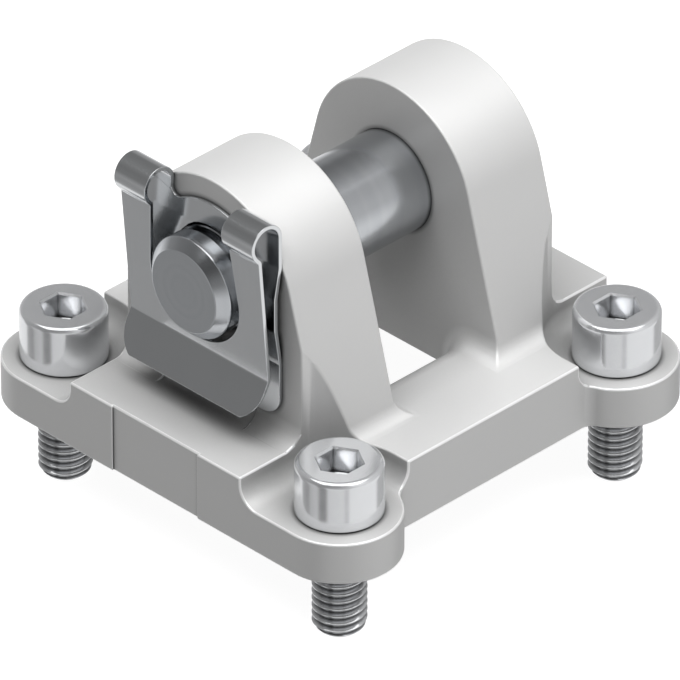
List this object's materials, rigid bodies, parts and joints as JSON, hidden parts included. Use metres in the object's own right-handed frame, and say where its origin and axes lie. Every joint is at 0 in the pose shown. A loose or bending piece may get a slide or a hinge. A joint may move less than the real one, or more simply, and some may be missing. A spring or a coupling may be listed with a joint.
{
  "type": "cylinder clevis mount",
  "caption": "Cast clevis foot with two ears, a pivot pin held by a folded spring clip, and socket head screws, for the rear of a pneumatic cylinder.",
  "frame": {"origin": "centre of the mounting face, in the middle of the square of screws", "axes": "+Z from the mounting face to the pivot; X along the pivot pin, with the spring clip at the -X end; Y across the ears"},
  "size_m": [0.075, 0.075, 0.0612],
  "materials": {
    "cast_aluminium": "shot-blasted die casting",
    "ground_steel": "ground",
    "spring_steel": "bright rolled sheet",
    "plated_steel": "bright zinc plated"
  },
  "bodies": {
    "foot": {"bracket": "cast_aluminium", "retaining_clip": "spring_steel", "screw_clip_left": "plated_steel", "screw_clip_right": "plated_steel", "screw_head_left": "plated_steel", "screw_head_right": "plated_steel"},
    "pin": {"pivot_pin": "ground_steel"}
  },
  "joints": [
    {"name": "pin_spin", "type": "hinge", "parent": "foot", "child": "pin", "pos_m": [0, 0, 0.032], "axis": [1, 0, 0], "continuous": true}
  ]
}
